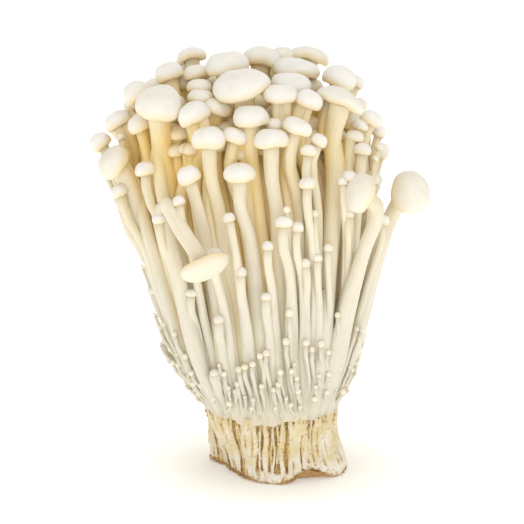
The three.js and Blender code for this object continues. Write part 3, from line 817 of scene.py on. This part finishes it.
def smooth_line(knots):
    """Evenly spaced points on a smooth curve through the knots, with the two directions across it."""
    knots = np.asarray(knots, float)
    ends = [2 * knots[0] - knots[1], *knots, 2 * knots[-1] - knots[-2]]
    dense = []
    t = np.linspace(0, 1, 24, endpoint=False)[:, None]
    for a, b, c, d in zip(ends, ends[1:], ends[2:], ends[3:]):
        square, cube = 2 * a - 5 * b + 4 * c - d, 3 * b - a - 3 * c + d
        dense.append(0.5 * (2 * b + (c - a) * t + square * t**2 + cube * t**3))
    dense = np.vstack([*dense, knots[-1:]])
    gone = np.concatenate([[0], np.cumsum(np.linalg.norm(np.diff(dense, axis=0), axis=1))])
    even = np.linspace(0, gone[-1], LINE_STEPS + 1)
    line = np.stack([np.interp(even, gone, dense[:, k]) for k in range(3)], axis=1)
    ahead = np.gradient(line, axis=0)
    ahead /= np.linalg.norm(ahead, axis=1)[:, None]
    first = np.cross(ahead, [0.0, 1.0, 0.0])
    first /= np.linalg.norm(first, axis=1)[:, None]
    return line, first, np.cross(ahead, first), gone[-1]


def stem_route(m, root_share):
    """Knots up the middle of a stem: out of the neck, along the spread, and square into its cap."""
    tall = m["width"] * m["squat"]
    end = m["middle"] - m["axis"] * CAP_SEAT * tall
    top_place = np.array([m["u"], m["v"]])
    reach = np.linalg.norm(top_place)
    foot_place = m.get("foot", top_place * min(root_share / reach, FEET_OUTWARD))
    rise = end[2] - NECK_ROOT
    foot = spread_point(*foot_place, NECK_ROOT)
    pull = m.get("pull", 1)
    straightness = STRAIGHTNESS if pull == 1 else 0
    knots = []
    for share in (0, 0.2, 0.45, 0.75) if rise > 25 else (0, 0.5):
        place = foot_place + (top_place - foot_place) * share**pull
        followed = spread_point(*place, NECK_ROOT + rise * share)
        straight = foot + (end - foot) * share
        knots.append(followed + (straight - followed) * straightness)
    upright = m["axis"] * SQUARENESS + np.array([0, 0, 1 - SQUARENESS])
    knots.append(end - upright * min(0.1 * rise, 1.6 * tall))
    knots.append(end + m["axis"] * 0.3 * tall)
    return knots


def painted_depth_glow(points):
    """How much painted amber glow a point takes: how deep it lies inside the bunch, 0 at the outside and
    1 well inside, less near the top.
    """
    z = points[:, 2]
    middle, half_width, half_depth = spread_at(z)
    reach = np.hypot((points[:, 0] - middle) / half_width, points[:, 1] / half_depth)
    high = smooth_step(z, 45, 95)
    inside = np.clip((1.03 - 0.06 * high - reach) / (0.13 + 0.1 * high), 0, 1)
    under_crown = smooth_step(CROWN_HEIGHT - CROWN_DROP * np.minimum(reach, 1.1) ** 2.4 - z, -6, 11)
    return inside * (0.75 + 0.25 * high) * under_crown


def marked_copy(shape, points, unbent, up_or_under, inside, tone):
    """A copy with its marks filled in."""
    copy = copy_of(shape, points)
    copy.data.attributes["unbent"].data.foreach_set("vector", unbent.astype(np.float32).ravel())
    marks = np.ones((len(points), 4), np.float32)
    marks[:, 0], marks[:, 1], marks[:, 2] = up_or_under, inside, tone
    copy.data.attributes["marks"].data.foreach_set("color", marks.ravel())
    return copy


def grow_stem(shape, knots, thickness, draw, wander, broad, flare=0.0):
    """A stem bent along its route, slightly oval and wandering, broad and flat just above the neck."""
    corners = points_of(shape)
    line, first, second, length = smooth_line(knots)
    along = corners[:, 2]
    turn = reach_and_turn(corners)[1]
    steps = np.arange(LINE_STEPS + 1)
    on_line, a, b = (
        np.stack([np.interp(along * LINE_STEPS, steps, column) for column in table.T], axis=1)
        for table in (line, first, second)
    )
    swing, sway = (
        wander * np.sin(np.pi * along) * np.sin(TURN * (along * (0.8 + 1.2 * next(draw)) + next(draw)))
        for _ in range(2)
    )
    oval = 1 + 0.07 * np.cos(2 * turn + TURN * next(draw) + 2 * along)
    oval += 0.035 * np.cos(3 * turn + TURN * next(draw))
    height = on_line[:, 2]
    swollen = 0.75 + 0.25 * smooth_step(height, 22, 36) + flare * smooth_step(along, 0.86, 1)
    lumpy = 1 + 0.04 * np.sin(TURN * (along * (1.5 + 2 * next(draw)) + next(draw)))
    radius = thickness / 2 * oval * swollen * lumpy
    across, depth = radius * np.cos(turn), radius * np.sin(turn)
    outward = np.stack([on_line[:, 0] - spread_at(height)[0], on_line[:, 1], 0 * height], axis=1)
    outward /= np.linalg.norm(outward, axis=1)[:, None]
    sideways = np.stack([-outward[:, 1], outward[:, 0], 0 * height], axis=1)
    section = a * across[:, None] + b * depth[:, None]
    broadened = broad * np.exp(-(((height - BROADEST_AT) / BROAD_OVER) ** 2))
    section += sideways * (broadened * (section * sideways).sum(axis=1))[:, None]
    points = on_line + a * swing[:, None] + b * sway[:, None] + section
    offset = GRAIN_SHIFT * np.array([next(draw), next(draw), next(draw)])
    unbent = np.stack([across, depth, along * length], axis=1) + offset
    up = smooth_step(points[:, 2], *FOOT_TO_TOP)
    return marked_copy(shape, points, unbent, up, painted_depth_glow(points), next(draw))


def fineness_of(m):
    return BIG if m["width"] >= BIG_FROM else SMALL if m["width"] >= SMALL_FROM else PIN


def grow_cap(shape, m, draw):
    """A cap set square on its stem, with an uneven margin: the wider the cap, the wavier."""
    corners = points_of(shape)
    half, tall = m["width"] / 2, m["width"] * m["squat"] * CAP_FULLNESS[fineness_of(m)]
    share, turn = reach_and_turn(corners)
    wave = m.get("wave", smooth_step(m["width"], 3, 15))
    phase = [TURN * next(draw) for _ in range(5)]
    uneven = 1 + (0.02 + 0.04 * wave) * np.cos(2 * turn + phase[0])
    uneven += 0.025 * wave * np.cos(3 * turn + phase[1])
    droop = 0.09 * np.cos(2 * turn + phase[2]) + 0.03 * np.cos(5 * turn + phase[3])
    dents = 0.03 * np.sin(4.2 * corners[:, 0] + phase[0]) * np.sin(3.7 * corners[:, 1] + phase[3])
    ruffle = wave * half * (droop * share**2 + dents)
    around = np.abs(np.mod(turn - phase[4] + np.pi, TURN) - np.pi)
    crease = -0.05 * wave * tall * np.exp(-((around / 0.22) ** 2)) * smooth_step(share, 0.15, 0.9)
    across, depth = half * uneven * corners[:, 0], half * uneven * corners[:, 1]
    height = tall * corners[:, 2] + ruffle + crease
    axis = m["axis"]
    first = np.cross(axis, [0.0, 1.0, 0.0])
    first /= np.linalg.norm(first)
    second = np.cross(axis, first)
    base = m["middle"] - axis * CAP_SEAT * tall
    points = base + across[:, None] * first + depth[:, None] * second + height[:, None] * axis
    offset = GRAIN_SHIFT * np.array([next(draw), next(draw), next(draw)])
    # The lower half of the cap is marked for the cream of painted shade under its margin.
    under = smooth_step(-corners[:, 2], -0.5, 0)
    unbent = np.stack([across, depth, height], axis=1) + offset
    # The amber share is the painted glow by depth, but at least half on the smallest caps, and as given
    # on the folded cap.
    least_tint = m.get("tint", 0.5 * (1 - smooth_step(m["width"], 2, 4.5)))
    tone = m.get("tone", next(draw))
    tint = np.maximum(painted_depth_glow(points), least_tint)
    return marked_copy(shape, points, unbent, under, tint, tone)


draw = seeded_draws(3)
caps, stems = {BIG: [], SMALL: [], PIN: []}, {BIG: [], SMALL: [], PIN: []}
for m in grown:
    fineness = fineness_of(m)
    knots = stem_route(m, ROOT_SHARE[fineness])
    least, share_of_width = STEM_THICKNESS[fineness]
    thickness = m.get("thickness", least + share_of_width * m["width"])
    flare = WIDE_FLARE if m["width"] > WIDE_FROM else FLARE
    broad = (BROAD_INSIDE if "pull" in m else BROAD[fineness]) * (0.6 + 0.8 * next(draw))
    stems[fineness].append(
        grow_stem(stem_shapes[fineness], knots, thickness, draw, WANDER[fineness], broad, flare)
    )
    if "joins" not in m:
        caps[fineness].append(grow_cap(cap_shapes[fineness], m, draw))

# The folded mushroom: its stem climbs on the left, bends sharply and hangs forward, cap to the front.
FOLDED_ROUTE = [
    (-19, -14, 23), (-27, -24, 46), (-33, -30, 76), (-37, -32, 93), (-38, -34, 98.5),
    (-35.5, -37, 98.5), (-31.5, -39.5, 92), (-24.5, -43.5, 82),
]
FOLDED_WIDTH = 16
FOLDED_SQUAT = 0.4
FOLDED_THICKNESS = 4.9
FOLDED_AXIS = np.array([0.4, -0.42, -0.81])
folded_axis = FOLDED_AXIS / np.linalg.norm(FOLDED_AXIS)
# Its cap is painted greyer and more amber than the others: painted shade, as it faces the lamps.
folded_cap = {
    "middle": np.array(FOLDED_ROUTE[-1]) + folded_axis * CAP_SEAT * FOLDED_WIDTH * FOLDED_SQUAT,
    "width": FOLDED_WIDTH, "squat": FOLDED_SQUAT, "axis": folded_axis,
    "wave": 0.25, "tint": 0.36, "tone": 2.2,
}
stems[BIG].append(grow_stem(stem_shapes[BIG], FOLDED_ROUTE, FOLDED_THICKNESS, draw, 0.1, 0.2))
caps[BIG].append(grow_cap(cap_shapes[BIG], folded_cap, draw))

# The heart of the bunch is packed stems, seen only between the outer ones, in painted amber glow that
# stands for light deep in the bunch.
HEART_RINGS = [
    (0.7, 23.8), (0.82, 28), (0.82, 36), (0.8, 48), (0.79, 60), (0.78, 72), (0.76, 84), (0.73, 95),
    (0.68, 105), (0.6, 113), (0.5, 118), (0.3, 121), (0.1, 122),
]
HEART_RIBS = 47
HEART_RIB_DEPTH = 0.07
HEART_PAINTED_GLOW = 0.4
heart = with_growth_marks(turned_shape(8 * HEART_RIBS, HEART_RINGS))
corners = points_of(heart)
share, turn = reach_and_turn(corners)
ribs = np.abs(np.cos(HEART_RIBS * turn / 2 + 0.8 * np.sin(3 * turn)))
fluted = share * (1 + HEART_RIB_DEPTH * (ribs - 0.7))
heart_points = np.stack([
    spread_point(*out_to(r, t), h) for r, t, h in zip(fluted, turn, corners[:, 2])
])
rise = smooth_step(heart_points[:, 2], *FOOT_TO_TOP)
heart_copy = marked_copy(heart, heart_points, heart_points, rise, HEART_PAINTED_GLOW, 0.5)

# Above the block the feet have grown together under a white skin. It hangs over the block's top as a
# soft uneven lip, and thins out upwards between the stems. Each row is how far out from the neck's line
# it is, and how far up from the lip.
SKIRT_SIDES = 240
SKIRT_ROWS = [
    (-3, 1.2), (-0.5, 0.5), (0.25, 0), (0.8, 0.4), (0.95, 1.2), (0.7, 2.4), (0.3, 4), (-0.3, 5.5),
    (-1.2, 7), (-2.6, 8.5), (-5, 9.5), (-14, 10),
]
skirt = with_growth_marks(turned_shape(SKIRT_SIDES, [(1, i) for i in range(len(SKIRT_ROWS))]))
corners = points_of(skirt)
turn = reach_and_turn(corners)[1]
out, up = (np.interp(corners[:, 2], range(len(SKIRT_ROWS)), column) for column in zip(*SKIRT_ROWS))
uneven_lip = 0.5 * np.sin(5 * turn + 1) + 0.35 * np.sin(13 * turn) + 0.28 * np.sin(29 * turn + 2)
uneven_lip += 0.2 * np.sin(53 * turn + 4)
height = rim_height(turn) - 1.2 + uneven_lip * (1 - smooth_step(up, 2, 9)) + up
folds = 0.24 * np.sin(23 * turn) + 0.2 * np.sin(37 * turn + 1) + 0.12 * np.sin(71 * turn + 2)
middle, half_width, half_depth = spread_at(height)
radius = 1 / np.hypot(np.cos(turn) / half_width, np.sin(turn) / half_depth) + out + folds
skirt_points = round_middle(radius, turn, height)
skirt_points[:, 0] += middle
# The skirt takes some painted amber glow too, as warm shade among the feet.
skirt_painted_glow = 0.24 + 0.08 * smooth_step(up, 2, 6)
skirt_copy = marked_copy(skirt, skirt_points, skirt_points, 0, skirt_painted_glow, 0.5)
for shape in (heart, skirt, *cap_shapes.values(), *stem_shapes.values()):
    bpy.data.objects.remove(shape)

# Stem flesh: long firm fibres, moist and slightly see-through. Ivory outside and greyer near the foot,
# cream under the caps, and painted amber glow inside the bunch, for light that has passed through many
# stems.
STEM_FOOT = "#E0DBCA"
STEM_IVORY = "#EEE8D6"
STEM_CREAM = "#F6E3AE"
PAINTED_GLOW_AMBER = "#FFDF8C"
stem_flesh, tree, shader = new_material("enoki stem, raw fibre")
unbent = add_node(tree, "Attribute", "Vector", attribute_name="unbent")
marks = add_node(tree, "Attribute", "Color", attribute_name="marks")
up, inside, tone = add_node(tree, "SeparateColor", slice(3), {"Color": marks})
fibre_place = add_node(tree, "Mapping", "Vector", {"Vector": unbent, "Scale": (1, 1, 0.07)})
fibre = add_node(
    tree, "TexNoise", "Fac", {"Vector": fibre_place, "Scale": 1.7, "Detail": 5, "Roughness": 0.6}
)
cloud = add_node(tree, "TexNoise", "Fac", {"Vector": unbent, "Scale": 0.08, "Detail": 3})
low_part = add_node(tree, "MapRange", "Result", {"Value": up, "From Min": 0.05, "From Max": 0.5})
high_part = add_node(
    tree, "MapRange", "Result", {"Value": up, "From Min": 0.25, "From Max": 0.95, "To Max": 0.65}
)
outside = add_node(tree, "Mix", 2, {0: low_part, 6: STEM_FOOT, 7: STEM_IVORY}, data_type="RGBA")
own_tone = add_node(tree, "Math", 0, {0: tone, 1: 0.6, 2: cloud}, operation="MULTIPLY_ADD")
toned = add_node(tree, "Math", 0, {0: high_part, 1: own_tone}, operation="MULTIPLY")
upward = add_node(tree, "Mix", 2, {0: toned, 6: outside, 7: STEM_CREAM}, data_type="RGBA")
deep = add_node(tree, "MapRange", "Result", {"Value": inside, "From Min": 0.1, "To Max": 0.88})
with_painted_glow = add_node(tree, "Mix", 2, {0: deep, 6: upward, 7: PAINTED_GLOW_AMBER}, data_type="RGBA")
streaks = add_node(
    tree, "MapRange", "Result",
    {"Value": fibre, "From Min": 0.3, "From Max": 0.7, "To Min": 0.9, "To Max": 1.03},
)
streaked = add_node(
    tree, "Mix", 2, {0: 1.0, 6: with_painted_glow, 7: streaks}, data_type="RGBA", blend_type="MULTIPLY"
)
fibres = add_node(tree, "Bump", "Normal", {"Height": fibre, "Strength": 0.3, "Distance": 0.2 * MM})
set_inputs(shader, {
    "Base Color": streaked, "Roughness": 0.48, "IOR": 1.38, "Normal": fibres,
    "Subsurface Weight": 0.12, "Subsurface Radius": (1, 0.92, 0.7), "Subsurface Scale": 1.5 * MM,
})

# Cap skin: smooth, moist and satin, as if waxed. White above and greyer on some caps at random. Painted
# shade: greyer still on the wide low caps and the folded one, and cream on the lower half, where it
# rolls under to the gills.
CAP_WHITE = "#FAF9F6"
CAP_SHADE = "#F0EBDD"
CAP_UNDER_PAINTED_SHADE = "#F9E5BA"
cap_skin, tree, shader = new_material("enoki cap, satin skin")
unbent = add_node(tree, "Attribute", "Vector", attribute_name="unbent")
marks = add_node(tree, "Attribute", "Color", attribute_name="marks")
under, inside, tone = add_node(tree, "SeparateColor", slice(3), {"Color": marks})
cloud = add_node(tree, "TexNoise", "Fac", {"Vector": unbent, "Scale": 0.3, "Detail": 4})
pores = add_node(tree, "TexNoise", "Fac", {"Vector": unbent, "Scale": 2.4, "Detail": 4})
tone_and_painted_shade = add_node(tree, "Math", 0, {0: tone, 1: 0.35, 2: cloud}, operation="MULTIPLY_ADD")
cloudy = add_node(tree, "MapRange", "Result", {"Value": tone_and_painted_shade, "From Min": 0.45, "From Max": 1.1})
top_skin = add_node(tree, "Mix", 2, {0: cloudy, 6: CAP_WHITE, 7: CAP_SHADE}, data_type="RGBA")
with_painted_shade_under = add_node(tree, "Mix", 2, {0: under, 6: top_skin, 7: CAP_UNDER_PAINTED_SHADE}, data_type="RGBA")
# Deep in the bunch the caps take the painted amber glow as well.
deep = add_node(tree, "MapRange", "Result", {"Value": inside, "From Min": 0.1, "To Max": 0.5})
with_painted_glow = add_node(tree, "Mix", 2, {0: deep, 6: with_painted_shade_under, 7: PAINTED_GLOW_AMBER}, data_type="RGBA")
sheen = add_node(
    tree, "MapRange", "Result",
    {"Value": pores, "From Min": 0.3, "From Max": 0.7, "To Min": 0.34, "To Max": 0.5},
)
uneven_skin = add_node(tree, "Bump", "Normal", {"Height": cloud, "Strength": 0.5, "Distance": 0.5 * MM})
fine_skin = add_node(
    tree, "Bump", "Normal",
    {"Height": pores, "Normal": uneven_skin, "Strength": 0.12, "Distance": 0.1 * MM},
)
set_inputs(shader, {
    "Base Color": with_painted_glow, "Roughness": sheen, "IOR": 1.4, "Normal": fine_skin,
    "Subsurface Weight": 0.35, "Subsurface Radius": (1, 0.92, 0.8), "Subsurface Scale": 3 * MM,
})

# Caps and stems of a kind are one piece each, and with the heart they stand for the solid mushrooms.
for name, copies, material in (
    ("tall_caps", caps[BIG], cap_skin),
    ("short_caps", caps[SMALL], cap_skin),
    ("pin_caps", caps[PIN], cap_skin),
    ("tall_stems", stems[BIG], stem_flesh),
    ("short_stems", stems[SMALL], stem_flesh),
    ("pin_stems", stems[PIN], stem_flesh),
    ("grown_together_heart", [heart_copy, skirt_copy], stem_flesh),
):
    piece = join_all(name, copies)
    piece.data.materials.append(material)
    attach(piece, "root")
    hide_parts("mushrooms")
